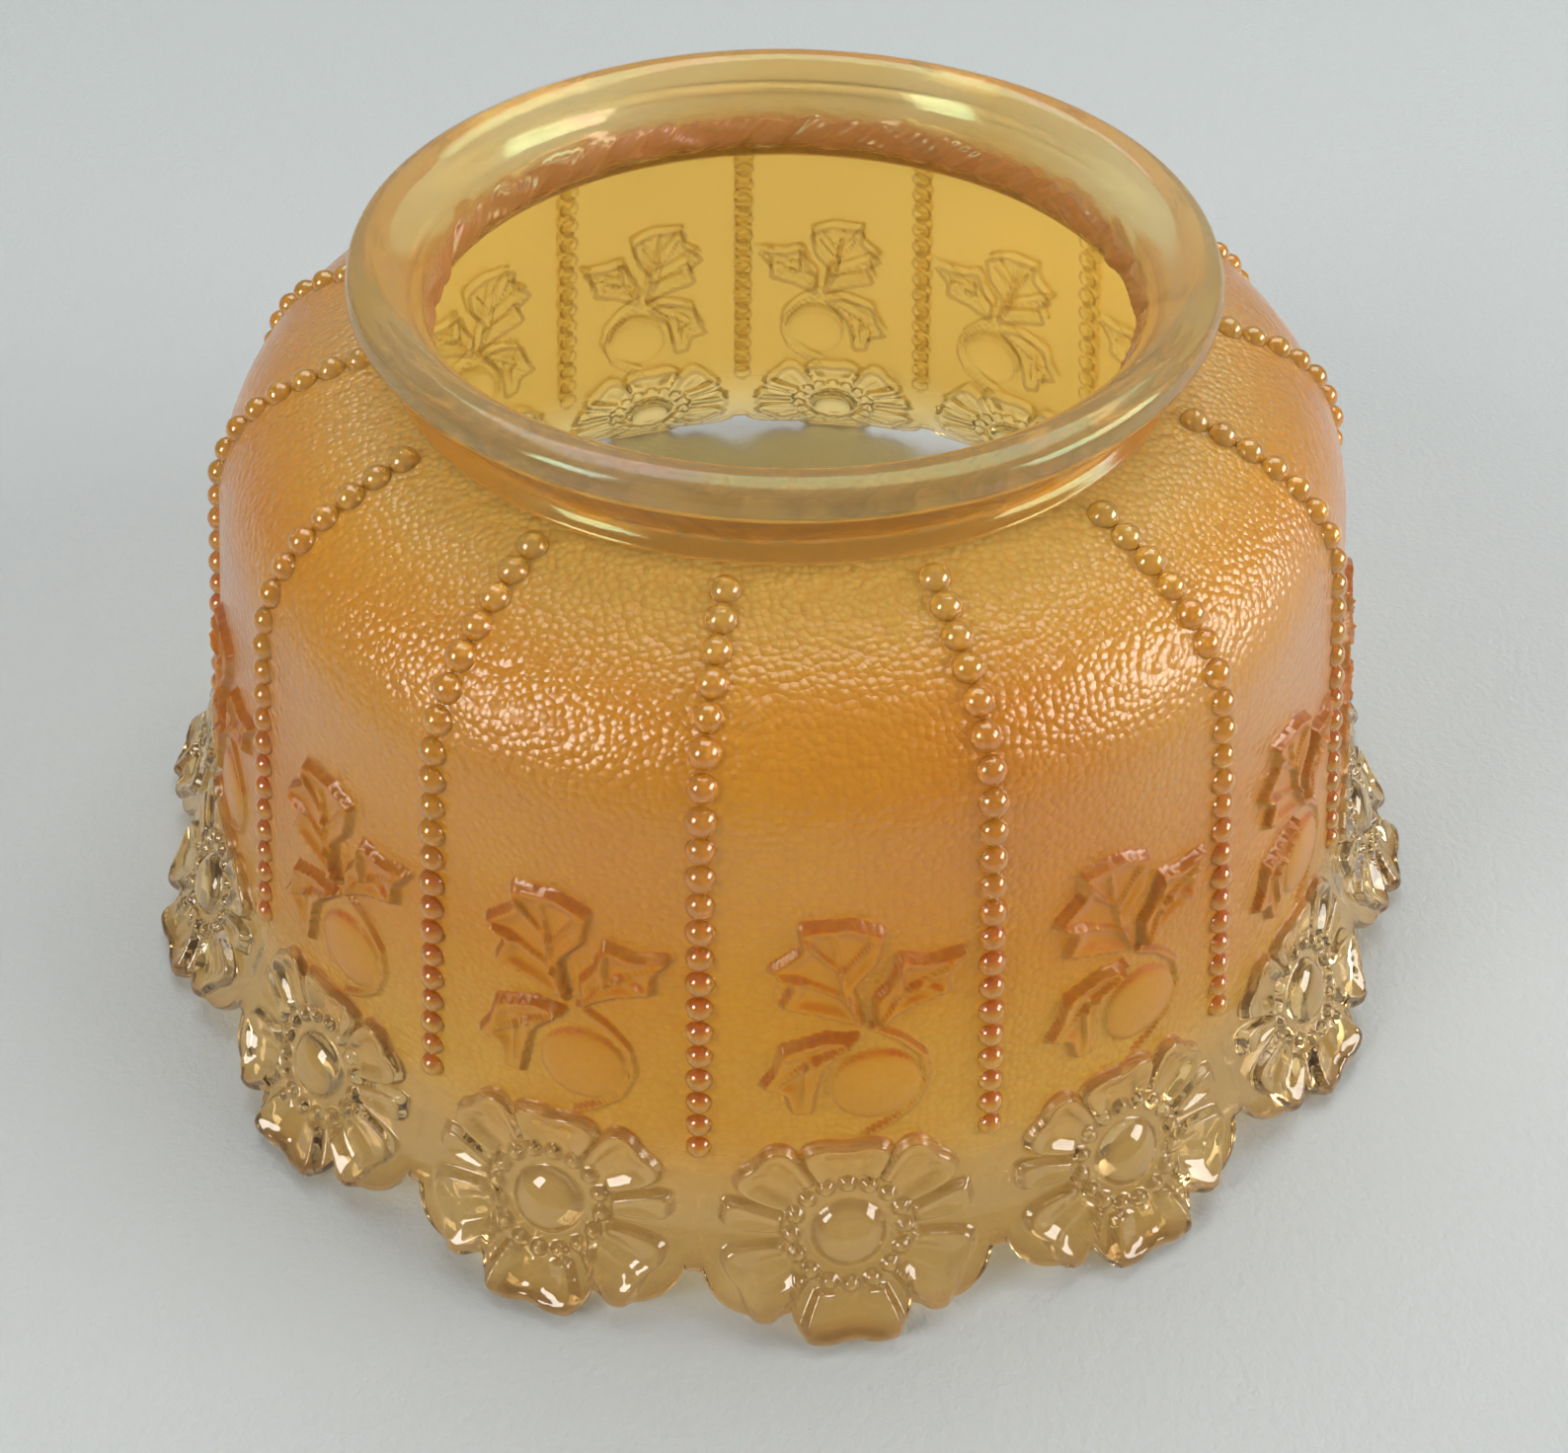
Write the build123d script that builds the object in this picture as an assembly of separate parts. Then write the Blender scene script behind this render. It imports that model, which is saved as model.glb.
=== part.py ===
from build123d import *
import math
import os

# A pressed glass lamp shade with fifteen panels, standing on its flowered rim with the
# fitter opening up. Millimetres, +Z up. The origin is on the axis, in the plane it rests on.

# Driving dimensions
fitter_radius = 50.0        # outside of the lip that a four inch shade holder takes
opening_radius = 41.5       # clear opening through the neck
total_height = 91.0         # rest plane to the crown of the lip
panel_count = 15            # bead columns, leaf sprays and flowers, one of each to a panel
wall_thickness = 3.0        # glass thickness everywhere in the wall
bead_count = 21             # beads in one column
wall_foot = (78.5, 24.0)    # radius and height where the wall meets the flared rim
wall_lean = 12.8            # degrees the wall leans out from the axis
wall_top_height = 63.6      # where the wall meets the shoulder
shoulder_arc = 17.5         # radius of the shoulder's bend
crown_arc = 45.0            # radius of the flatter crown above the shoulder
crown_start = 64.0          # degrees up from horizontal where the crown begins
crown_end = 82.0            # degrees up from horizontal where the neck cuts the crown off
flare_arc = 42.0            # radius of the outward bend of the rim
flare_end = 49.0            # degrees up from horizontal of the face at the rim's tips

# Relief above the plain wall
bead_radius = 1.75
bead_rise = 1.15
leaf_rise = 0.8
fruit_rise = 1.1
stem_rise = 0.7
petal_rise = 1.1
boss_rise = 2.0
pearl_radius = 1.0

# Places on a panel
panel_angle = 360 / panel_count
flower_lean = 31.0          # degrees up from horizontal of the face at a flower's centre
flower_reach = 15.3         # centre to the tip of a side petal
petal_foot = 7.9            # centre to the inner end of every petal
pearl_ring = 6.55
pearls = 16
boss_radius = 4.6
petal_corner = 0.6          # share of a petal's half width that its corners are cut back
petal_rounding = 0.4        # rounding of those corners, as a share of the cut
valley_drop = 5.6           # flower centre down to the rim between two flowers
rim_disc_radius = 9.4       # glass round a flower's centre, behind its petals
sector_size = 44.0          # larger than one panel of the rim
column_inset = 4.5          # degrees of the crown from the neck to the first bead
column_overrun = 2.0        # last bead's place below the wall's foot
proud_room = 4.0            # room outside the face that holds every proud detail
spray_height = 20.5         # height of the spray's zero line
prism_depth = 14.0          # how far a relief outline is carried through the wall


def polar(centre, radius, degrees):
    turn = math.radians(degrees)
    return (centre[0] + radius * math.cos(turn), centre[1] + radius * math.sin(turn))


# Centres of the three arcs, each tangent to its neighbours
wall_top = (
    wall_foot[0] - (wall_top_height - wall_foot[1]) * math.tan(math.radians(wall_lean)),
    wall_top_height,
)
shoulder_centre = polar(wall_top, -shoulder_arc, wall_lean)
crown_foot = polar(shoulder_centre, shoulder_arc, crown_start)
crown_centre = polar(crown_foot, -crown_arc, crown_start)
flare_centre = polar(wall_foot, flare_arc, wall_lean)


def crown_point(level, degrees):
    """Point of the crown at a level above the plain outer face."""
    return polar(crown_centre, crown_arc + level, degrees)


def shoulder_point(level, degrees):
    return polar(shoulder_centre, shoulder_arc + level, degrees)


def flare_point(level, degrees):
    return polar(flare_centre, -(flare_arc - level), degrees)


def side_line(level):
    """Edges of the crown, shoulder and wall, at a level above the plain outer face."""
    crown = ThreePointArc(
        crown_point(level, crown_end),
        crown_point(level, (crown_end + crown_start) / 2),
        crown_point(level, crown_start),
    )
    shoulder = ThreePointArc(
        shoulder_point(level, crown_start),
        shoulder_point(level, (crown_start + wall_lean) / 2),
        shoulder_point(level, wall_lean),
    )
    wall = Line(shoulder_point(level, wall_lean), flare_point(level, wall_lean))
    return [crown, shoulder, wall]


def flare_line(level):
    return ThreePointArc(
        flare_point(level, wall_lean),
        flare_point(level, (wall_lean + flare_end) / 2),
        flare_point(level, flare_end),
    )


def spun(edges, degrees=360):
    """The closed outline turned about the axis, centred on +X when it is less than a ring."""
    face = Plane.XZ * make_face(Wire(edges))
    return Rot(0, 0, -degrees / 2) * revolve(face, Axis.Z, degrees)


def wall_layer(low, high, degrees=360):
    ends = [
        Line(crown_point(low, crown_end), crown_point(high, crown_end)),
        Line(flare_point(low, wall_lean), flare_point(high, wall_lean)),
    ]
    return spun(side_line(low) + side_line(high) + ends, degrees)


def flare_layer(low, high, degrees=360):
    ends = [
        Line(flare_point(low, wall_lean), flare_point(high, wall_lean)),
        Line(flare_point(low, flare_end), flare_point(high, flare_end)),
    ]
    return spun([flare_line(low), flare_line(high)] + ends, degrees)


def outline(points):
    return make_face(Polyline(*points, close=True))


def panel_plane():
    """Upright plane on the axis that looks out along +X, with its x to the right."""
    return Plane(origin=(wall_foot[0], 0, spray_height), x_dir=(0, 1, 0), z_dir=(1, 0, 0))


def flower_plane():
    radius, height = flare_point(0, flower_lean)
    lean = math.radians(flower_lean)
    out = (math.cos(lean), 0, math.sin(lean))
    return Plane(origin=(radius, 0, height), x_dir=(0, 1, 0), z_dir=out)


def carried(plane, sketch):
    """A sketch on a panel carried through the wall both ways."""
    return extrude(plane * sketch, prism_depth, both=True)


def as_solids(shapes):
    found = []
    for shape in shapes:
        found += list(shape.solids())
    return found


def around(shapes, half_turn=False):
    """Copies of one panel's solids on every panel, or on the lines between the panels."""
    start = panel_angle / 2 if half_turn else 0
    solids = as_solids(shapes)
    copies = []
    for panel in range(panel_count):
        turn = Rot(0, 0, start + panel * panel_angle)
        copies += [turn * solid for solid in solids]
    return Compound(children=copies)


# The plain glass: lip, neck, wall and rim. Pairs are a radius and a height.
neck_waist = 45.2
neck_top = 85.0
neck_foot_rise = 1.2        # straight bore above the wall's inner face
lip_root = (46.2, neck_top)
lip_under = (48.9, 85.9)
lip_band = (87.6, 89.4)     # heights of the band's two edges
lip_shoulder = (48.9, 90.5)
lip_crown = (46.6, total_height)
lip_throat = (43.1, 89.0)
bore_top = (opening_radius, neck_top)


def fitter_lip():
    """Thick flared lip: a plain band outside, rolled over the top and down into the opening."""
    band_foot = (fitter_radius, lip_band[0])
    band_head = (fitter_radius, lip_band[1])
    edges = [
        Line(bore_top, lip_root),
        ThreePointArc(lip_root, lip_under, band_foot),
        Line(band_foot, band_head),
        ThreePointArc(band_head, lip_shoulder, lip_crown),
        ThreePointArc(lip_crown, lip_throat, bore_top),
    ]
    return spun(edges)


def fitter_neck():
    """Short waisted neck with a straight bore, between the lip and the crown."""
    outer = crown_point(0, crown_end)
    inner = crown_point(-wall_thickness, crown_end)
    foot = (opening_radius, inner[1] + neck_foot_rise)
    edges = [
        Line(outer, inner),
        Line(inner, foot),
        Line(foot, bore_top),
        Line(bore_top, lip_root),
        ThreePointArc(lip_root, (neck_waist, (neck_top + outer[1]) / 2), outer),
    ]
    return spun(edges)


def body_wall():
    return wall_layer(-wall_thickness, 0)


# Flowers: each petal's angle clockwise from straight up, its reach from the flower's
# centre, and half its width at the foot and at the tip
petal_shapes = {
    "top_petals": [(0, 12.3, 3.6, 5.6)],
    "upper_petals": [(-47, 14.6, 2.6, 4.4), (47, 14.6, 2.6, 4.4)],
    "side_petals": [(-79, flower_reach, 1.3, 2.1), (79, flower_reach, 1.3, 2.1)],
    "lower_petals": [(-117, flower_reach, 2.6, 4.6), (117, flower_reach, 2.6, 4.6)],
    "bottom_petals": [(180, 13.6, 3.6, 5.4)],
}


def petal(angle, reach, foot_half, tip_half):
    """One petal: narrow at its foot, cut back and rounded at its corners."""
    tip_radius = tip_half * petal_corner
    points = [
        (-foot_half, petal_foot),
        (foot_half, petal_foot),
        (tip_half, reach - tip_radius),
        (tip_half - tip_radius, reach),
        (tip_radius - tip_half, reach),
        (-tip_half, reach - tip_radius),
    ]
    face = outline(points)
    corners = face.vertices().sort_by(Axis.Y)[2:]
    return Rot(0, 0, -angle) * fillet(corners, tip_radius * petal_rounding)


def petal_node(shapes):
    layer = flare_layer(0, petal_rise, panel_angle) + wall_layer(0, petal_rise, panel_angle)
    plane = flower_plane()
    return around([layer & carried(plane, petal(*shape)) for shape in shapes])


def flared_rim():
    """The flare under the wall, with its edge scalloped to the lower petals."""
    plane = flower_plane()
    upper = Pos(0, sector_size / 2 - valley_drop) * Rectangle(sector_size, sector_size)
    lower = [petal(*s) for s in petal_shapes["lower_petals"] + petal_shapes["bottom_petals"]]
    edge = upper + lower + Circle(rim_disc_radius)
    sector = flare_layer(-wall_thickness, 0, panel_angle) & carried(plane, edge)
    rim = sector
    for panel in range(1, panel_count):
        rim = rim + Rot(0, 0, panel * panel_angle) * sector
    block = 4 * wall_foot[0]
    return rim - Pos(0, 0, -block / 2) * Box(block, block, block)


def column_place(number):
    """Radius, height and outward angle of a bead, by its number down the column."""
    crown_length = crown_arc * math.radians(crown_end - column_inset - crown_start)
    bend_length = shoulder_arc * math.radians(crown_start - wall_lean)
    wall_length = math.dist(wall_top, wall_foot)
    along = (crown_length + bend_length + wall_length + column_overrun) * number / (bead_count - 1)
    if along < crown_length:
        angle = crown_start + math.degrees((crown_length - along) / crown_arc)
        return crown_point(0, angle), angle
    along -= crown_length
    if along < bend_length:
        angle = crown_start - math.degrees(along / shoulder_arc)
        return shoulder_point(0, angle), angle
    along -= bend_length
    if along < wall_length:
        share = along / wall_length
        radius = wall_top[0] + share * (wall_foot[0] - wall_top[0])
        height = wall_top[1] + share * (wall_foot[1] - wall_top[1])
        return (radius, height), wall_lean
    angle = wall_lean + math.degrees((along - wall_length) / flare_arc)
    return flare_point(0, angle), angle


def dome(place, degrees, radius, rise):
    """A ball sunk so that its top stands the given rise above the face."""
    sunk = polar(place, rise - radius, degrees)
    return Pos(sunk[0], 0, sunk[1]) * Sphere(radius)


def outside_layer():
    """The space just outside one panel's plain face, which keeps what stands proud of it."""
    half = panel_angle / 2
    return wall_layer(0, proud_room, half) + flare_layer(0, proud_room, half)


def bead_columns():
    layer = outside_layer()
    beads = []
    for number in range(bead_count):
        place, angle = column_place(number)
        beads.append(layer & dome(place, angle, bead_radius, bead_rise))
    return around(beads, half_turn=True)


def flower_bosses():
    radius, height = flare_point(0, flower_lean)
    ball_radius = (boss_radius ** 2 + boss_rise ** 2) / (2 * boss_rise)
    ball = dome((radius, height), flower_lean, ball_radius, boss_rise)
    return around([flare_layer(0, proud_room, panel_angle / 2) & ball])


def pearl_rings():
    layer = flare_layer(0, proud_room, panel_angle)
    balls = []
    for number in range(pearls):
        turn = 2 * math.pi * number / pearls
        up = pearl_ring * math.cos(turn)
        across = pearl_ring * math.sin(turn)
        radius, height = flare_point(0, flower_lean - math.degrees(up / flare_arc))
        side = math.degrees(across / radius)
        ball = Pos(radius, 0, height) * Sphere(pearl_radius)
        balls.append(layer & (Rot(0, 0, side) * ball))
    return around(balls)


# Leaf sprays: outlines to the right and up from the foot of the panel's middle
upper_left_leaf = [
    (1.6, 19.8), (1.2, 25.2), (3.6, 31.0), (0.2, 33.6), (-5.4, 33.0),
    (-5.0, 30.4), (-8.8, 27.4), (-6.4, 24.4), (-7.0, 22.4), (-2.6, 20.6),
]
upper_right_leaf = [
    (3.0, 19.6), (2.4, 23.4), (4.4, 26.2), (5.0, 28.6), (9.4, 28.8),
    (13.0, 26.8), (10.2, 24.2), (10.4, 22.0), (7.0, 21.2),
]
lower_left_leaf = [
    (1.2, 18.6), (-2.4, 18.8), (-7.4, 16.6), (-9.6, 11.2), (-6.8, 10.2),
    (-6.2, 7.6), (-3.6, 7.0), (-3.0, 10.4), (-2.8, 14.0),
]
fruit_centre = (3.0, 10.6)
fruit_radius = 4.9
stem_width = 0.9
stem_gap = 0.5


def on_wall(sketch, rise):
    return around([wall_layer(0, rise, panel_angle) & carried(panel_plane(), sketch)])


def stems():
    """A stem that leaves the leaves' joint and bends round the fruit to the flower."""
    reach = fruit_radius + stem_gap + stem_width / 2
    ring = Circle(reach + stem_width / 2) - Circle(reach - stem_width / 2)
    right_half = Pos(reach, 0) * Rectangle(2 * reach, 4 * reach)
    return on_wall(Pos(*fruit_centre) * (ring & right_half), stem_rise)


os.makedirs("parts", exist_ok=True)
nodes = {
    "fitter_lip": fitter_lip(),
    "fitter_neck": fitter_neck(),
    "body_wall": body_wall(),
    "flared_rim": flared_rim(),
    "bead_columns": bead_columns(),
    "upper_left_leaves": on_wall(outline(upper_left_leaf), leaf_rise),
    "upper_right_leaves": on_wall(outline(upper_right_leaf), leaf_rise),
    "lower_left_leaves": on_wall(outline(lower_left_leaf), leaf_rise),
    "fruits": on_wall(Pos(*fruit_centre) * Circle(fruit_radius), fruit_rise),
    "stems": stems(),
    "flower_bosses": flower_bosses(),
    "pearl_rings": pearl_rings(),
}
for name, shapes in petal_shapes.items():
    nodes[name] = petal_node(shapes)
for name, shape in nodes.items():
    export_step(shape, f"parts/{name}.step")
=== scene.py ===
import math
from functools import partial

import bpy
import numpy as np
from mathutils import Matrix, Vector


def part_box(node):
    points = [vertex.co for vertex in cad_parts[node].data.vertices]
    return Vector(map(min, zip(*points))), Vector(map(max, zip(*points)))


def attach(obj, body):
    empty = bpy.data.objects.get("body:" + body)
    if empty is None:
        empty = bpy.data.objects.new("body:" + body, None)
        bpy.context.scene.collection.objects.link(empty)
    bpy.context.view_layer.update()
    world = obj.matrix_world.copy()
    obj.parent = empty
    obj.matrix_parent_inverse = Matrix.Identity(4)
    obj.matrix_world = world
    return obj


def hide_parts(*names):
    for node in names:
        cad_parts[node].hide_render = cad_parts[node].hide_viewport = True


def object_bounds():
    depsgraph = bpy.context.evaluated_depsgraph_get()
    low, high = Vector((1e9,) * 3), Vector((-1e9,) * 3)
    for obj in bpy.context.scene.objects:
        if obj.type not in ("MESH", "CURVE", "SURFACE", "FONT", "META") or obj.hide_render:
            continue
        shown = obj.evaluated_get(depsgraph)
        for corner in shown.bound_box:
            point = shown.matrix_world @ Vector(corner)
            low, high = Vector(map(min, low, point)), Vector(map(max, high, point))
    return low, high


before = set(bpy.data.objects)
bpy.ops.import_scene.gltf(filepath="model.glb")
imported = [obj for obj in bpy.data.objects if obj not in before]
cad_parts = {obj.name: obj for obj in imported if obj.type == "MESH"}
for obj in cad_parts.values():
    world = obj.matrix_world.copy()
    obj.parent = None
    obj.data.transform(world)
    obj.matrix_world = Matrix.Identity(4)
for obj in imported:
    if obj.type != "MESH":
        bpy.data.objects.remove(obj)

cad_low, cad_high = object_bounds()
LIP_RADIUS = 50.0
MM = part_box("fitter_lip")[1].x / LIP_RADIUS     # one design millimetre in the frame
PANELS = 15                 # each with a column of beads, a leaf spray and a flower
PANEL = 2 * math.pi / PANELS
BEADS = 21                  # in one column
THICK = 3.0
EDGE_THICK = 2.3            # the rim's edge is a little thinner than the wall

# ---------------------------------------------------------------- the plain profile
# Lengths are in design millimetres. Face angles are degrees up from horizontal.
WALL_LEAN = 12.8
CROWN_START = 64.0
CROWN_END = 82.0
FLARE_END = 49.0
FLARE_SPARE = 4.0           # the line runs on past the rim's edge
SHOULDER_ARC = 17.5
CROWN_ARC = 45.0
FLARE_ARC = 42.0
FLOWER_LEAN = 31.0
WALL_FOOT = (78.5, 24.0)    # radius and height
WALL_TOP_HEIGHT = 63.6
RIM_RADIUS = 86.0           # where the flowers' outline is laid out
COLUMN_INSET = 4.5          # degrees from the neck to the first bead
COLUMN_OVERRUN = 2.0        # last bead's place below the wall's foot


def polar(centre, radius, degrees):
    """A point at an angle on a circle."""
    turn = math.radians(degrees)
    return (centre[0] + radius * math.cos(turn), centre[1] + radius * math.sin(turn))


def arc(centre, radius, start, stop):
    turn = np.radians(np.linspace(start, stop, 160))
    return np.stack([centre[0] + radius * np.cos(turn), centre[1] + radius * np.sin(turn)], -1)


WALL_TOP = (
    WALL_FOOT[0] - (WALL_TOP_HEIGHT - WALL_FOOT[1]) * math.tan(math.radians(WALL_LEAN)),
    WALL_TOP_HEIGHT,
)
SHOULDER_CENTRE = polar(WALL_TOP, -SHOULDER_ARC, WALL_LEAN)
CROWN_CENTRE = polar(polar(SHOULDER_CENTRE, SHOULDER_ARC, CROWN_START), -CROWN_ARC, CROWN_START)
FLARE_CENTRE = polar(WALL_FOOT, FLARE_ARC, WALL_LEAN)


class Line:
    """An outline in (radius, height) that can be read by its length from the start."""

    def __init__(self, *parts):
        points = np.concatenate(parts)
        step = np.linalg.norm(np.diff(points, axis=0), axis=1)
        keep = np.concatenate([[True], step > 1e-6])
        self.points = points[keep]
        step = np.linalg.norm(np.diff(self.points, axis=0), axis=1)
        self.at = np.concatenate([[0.0], np.cumsum(step)])
        self.length = self.at[-1]

    def place(self, s):
        return np.stack([np.interp(s, self.at, self.points[:, k]) for k in (0, 1)], -1)

    def tangent(self, s):
        reach = 0.05
        ahead = self.place(np.clip(s + reach, 0, self.length))
        behind = self.place(np.clip(s - reach, 0, self.length))
        way = ahead - behind
        return way / np.linalg.norm(way, axis=-1, keepdims=True)


crown = arc(CROWN_CENTRE, CROWN_ARC, CROWN_END, CROWN_START)
shoulder = arc(SHOULDER_CENTRE, SHOULDER_ARC, CROWN_START, WALL_LEAN)
straight = np.linspace(WALL_TOP, WALL_FOOT, 80)
flare = arc(FLARE_CENTRE, FLARE_ARC, 180 + WALL_LEAN, 180 + FLARE_END + FLARE_SPARE)
side = Line(crown, shoulder, straight, flare)
FOOT_AT = side.length - FLARE_ARC * math.radians(FLARE_END + FLARE_SPARE - WALL_LEAN)
FLOWER_AT = FOOT_AT + FLARE_ARC * math.radians(FLOWER_LEAN - WALL_LEAN)
COLUMN_START = CROWN_ARC * math.radians(COLUMN_INSET)
COLUMN_STOP = FOOT_AT + COLUMN_OVERRUN
BEAD_PITCH = (COLUMN_STOP - COLUMN_START) / (BEADS - 1)


# ---------------------------------------------------------------- relief on one panel
def smooth(low, high, x):
    t = np.clip((x - low) / (high - low), 0, 1)
    return t * t * (3 - 2 * t)


def bump(x, width):
    return np.exp(-((x / width) ** 2))


def segment_distance(u, v, start, stop):
    (ax, ay), (bx, by) = start, stop
    ex, ey = bx - ax, by - ay
    t = np.clip(((u - ax) * ex + (v - ay) * ey) / (ex * ex + ey * ey), 0, 1)
    return np.hypot(u - ax - t * ex, v - ay - t * ey)


def stroke_distance(u, v, points):
    """Distance to an open line through the points."""
    return np.minimum.reduce([segment_distance(u, v, a, b) for a, b in zip(points, points[1:])])


def polygon_distance(u, v, corners):
    """Distance to a closed outline: negative inside it."""
    closed = corners + corners[:1]
    inside = np.zeros(u.shape, bool)
    for (ax, ay), (bx, by) in zip(closed, closed[1:]):
        crosses = (ay > v) != (by > v)
        rise = (by - ay) or 1e-9
        inside ^= crosses & (u < (bx - ax) * (v - ay) / rise + ax)
    away = stroke_distance(u, v, closed)
    return np.where(inside, -away, away)


# Outlines of one leaf spray, across and up from the foot of the panel's middle
UPPER_LEFT_LEAF = [
    (1.8, 19.4), (0.9, 25.2), (3.2, 28.0), (4.0, 32.2), (0.2, 33.8), (-5.4, 33.4),
    (-5.2, 30.6), (-8.8, 27.6), (-6.2, 25.6), (-7.6, 22.6), (-2.6, 21.2),
]
UPPER_RIGHT_LEAF = [
    (2.8, 19.2), (2.4, 23.4), (3.8, 25.0), (5.0, 29.0), (8.4, 28.0), (13.2, 28.6),
    (10.8, 25.2), (11.0, 22.8), (7.0, 21.6),
]
LOWER_LEFT_LEAF = [
    (1.6, 18.4), (-2.4, 18.9), (-7.4, 17.2), (-8.2, 14.0), (-10.0, 11.2), (-7.0, 10.4),
    (-6.4, 7.6), (-3.6, 7.2), (-3.2, 10.4), (-2.4, 14.0),
]
LEAF_VEINS = [
    [(1.8, 19.4), (-0.4, 24.4), (-1.6, 31.6)],
    [(-0.1, 23.8), (-4.2, 26.0), (-7.2, 27.2)],
    [(-0.8, 26.6), (1.2, 29.4), (2.4, 31.2)],
    [(-0.9, 27.6), (-2.9, 29.4), (-4.4, 31.6)],
    [(2.8, 19.2), (5.4, 23.4), (10.6, 26.8)],
    [(5.4, 23.4), (5.2, 25.8), (5.4, 27.6)],
    [(6.6, 24.4), (8.8, 24.0), (9.8, 23.6)],
    [(1.6, 18.4), (-3.4, 15.4), (-7.6, 12.2)],
    [(-3.4, 15.4), (-5.2, 16.0), (-6.6, 16.0)],
    [(-4.6, 14.4), (-4.6, 11.4), (-5.0, 9.0)],
]
FRUIT = (3.1, 11.0)
FRUIT_RADIUS = 5.1
STEM = [(2.6, 19.2), (5.6, 17.4), (8.2, 14.6), (8.9, 11.2), (7.6, 7.6), (4.8, 5.2), (2.4, 3.8)]
# Each petal's angle clockwise from straight up, its reach, and half its width at foot and tip
PETALS = [
    (0, 13.0, 3.4, 6.0), (-47, 15.0, 2.4, 4.9), (47, 15.0, 2.4, 4.9),
    (-79, 15.6, 1.2, 2.3), (79, 15.6, 1.2, 2.3), (-118, 15.4, 2.8, 5.4), (118, 15.4, 2.8, 5.4),
    (180, 14.4, 4.0, 6.7),
]
PETAL_FOOT = 6.5
SQUARENESS = 3.2            # 2 would make a petal's tip round, and more squares it off
PEARLS = 16
PEARL_RING = 6.5
PEARL_RADIUS = 1.05
BOSS_RADIUS = 4.3
BOSS_RISE = 2.3
DISC_RISE = 0.35            # the flat disc under the boss and the pearls
SPRAY_FOOT = 9.7            # flower's centre up to the spray's zero line
SPRAY_STRETCH = 1.0255      # length up the leaning wall for a unit of height


def on_panel(points):
    """A spray's points with their heights as lengths up from the flower's centre."""
    return [(x, SPRAY_FOOT + SPRAY_STRETCH * y) for x, y in points]


def ball(gap, radius):
    """Rise of a dome, as a share of its full rise, at a gap from its middle."""
    return np.sqrt(np.clip(1 - (gap / radius) ** 2, 0, 1))


def leaf_relief(u, v, corners):
    """A leaf with a steep edge and a dished middle."""
    depth = -polygon_distance(u, v, on_panel(corners))
    rise = smooth(0.0, 0.6, depth) * 1.05
    dish = smooth(0.6, 2.4, depth) * 0.6
    return rise - dish


def petal_relief(u, v, angle, reach, foot, tip):
    """A petal that widens from its foot, with a raised border and faint ribs."""
    turn = math.radians(angle)
    across = u * math.cos(turn) - v * math.sin(turn)
    along = u * math.sin(turn) + v * math.cos(turn)
    share = np.clip((along - PETAL_FOOT) / (reach - PETAL_FOOT), 0, 1)
    half = foot + (tip - foot) * np.sin(share * math.pi / 2)
    corner = np.abs(across / half) ** SQUARENESS
    end = reach * (1 - 0.03 * bump(across, 1.6))
    over = np.clip((along - end + 4.0) / 4.0, 0, 2) ** SQUARENESS
    field = 1 - (corner + over) ** (1 / SQUARENESS)
    depth = field * np.minimum(half, 4.0)
    depth = np.where(along > 4.0, depth, -1.0)
    rise = smooth(0.0, 0.75, depth) * 1.3
    dish = smooth(0.7, 3.0, depth) * 0.85
    ribs = 0.06 * np.cos(across * 2.6) * smooth(0.8, 2.4, depth)
    return np.where(depth > 0, rise - dish + ribs, 0.0)


def spray_relief(u, v):
    """Three veined leaves, a fruit and the stem that bends round it."""
    height = np.zeros(u.shape)
    for corners in (LOWER_LEFT_LEAF, UPPER_RIGHT_LEAF, UPPER_LEFT_LEAF):
        height = np.maximum(height, leaf_relief(u, v, corners))
    for vein in LEAF_VEINS:
        height += 0.5 * bump(stroke_distance(u, v, on_panel(vein)), 0.28) * (height > 0.2)
    fruit_u, fruit_v = on_panel([FRUIT])[0]
    height = np.maximum(height, ball(np.hypot(u - fruit_u, v - fruit_v), FRUIT_RADIUS))
    stem = stroke_distance(u, v, on_panel(STEM))
    return np.maximum(height, 0.55 * ball(stem, 0.5))


def relief(u, v):
    """Height of the pattern over the plain face; u to the right and v up from a flower's centre."""
    height = spray_relief(u, v)
    for angle, reach, foot, tip in PETALS:
        height = np.maximum(height, petal_relief(u, v, angle, reach, foot, tip))
    centre = np.hypot(u, v)
    disc = smooth(8.2, 7.4, centre)
    height = height * (1 - disc) + DISC_RISE * disc
    height = np.maximum(height, BOSS_RISE * ball(centre, BOSS_RADIUS))
    turn = np.arctan2(u, v)
    nearest = np.round(turn / (2 * math.pi) * PEARLS) * 2 * math.pi / PEARLS
    apart = np.hypot(u - PEARL_RING * np.sin(nearest), v - PEARL_RING * np.cos(nearest))
    pearl = 0.3 + ball(apart, PEARL_RADIUS)
    return np.where(apart < PEARL_RADIUS, np.maximum(height, pearl), height)


def rim_edge(u):
    """How far down from the flower's centre the glass runs, at a distance u to one side."""
    across = np.abs(u)
    bottom_half, lower_middle, lower_half = 6.7, 9.9, 7.1
    bottom = 6.4 + 6.2 * np.clip(1 - (across / bottom_half) ** 4, 0, 1) ** 0.25
    bottom -= 0.45 * bump(across, 1.5)      # the notch in the bottom petal's tip
    bottom = np.where(across < bottom_half, bottom, 0)
    beside = np.abs((across - lower_middle) / lower_half)
    lower = 4.2 + 5.6 * np.clip(1 - beside ** 2.2, 0, 1) ** 0.55
    valley = 4.9 + 0.1 * across / 17.4
    return np.maximum(np.maximum(bottom, lower), valley)


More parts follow.
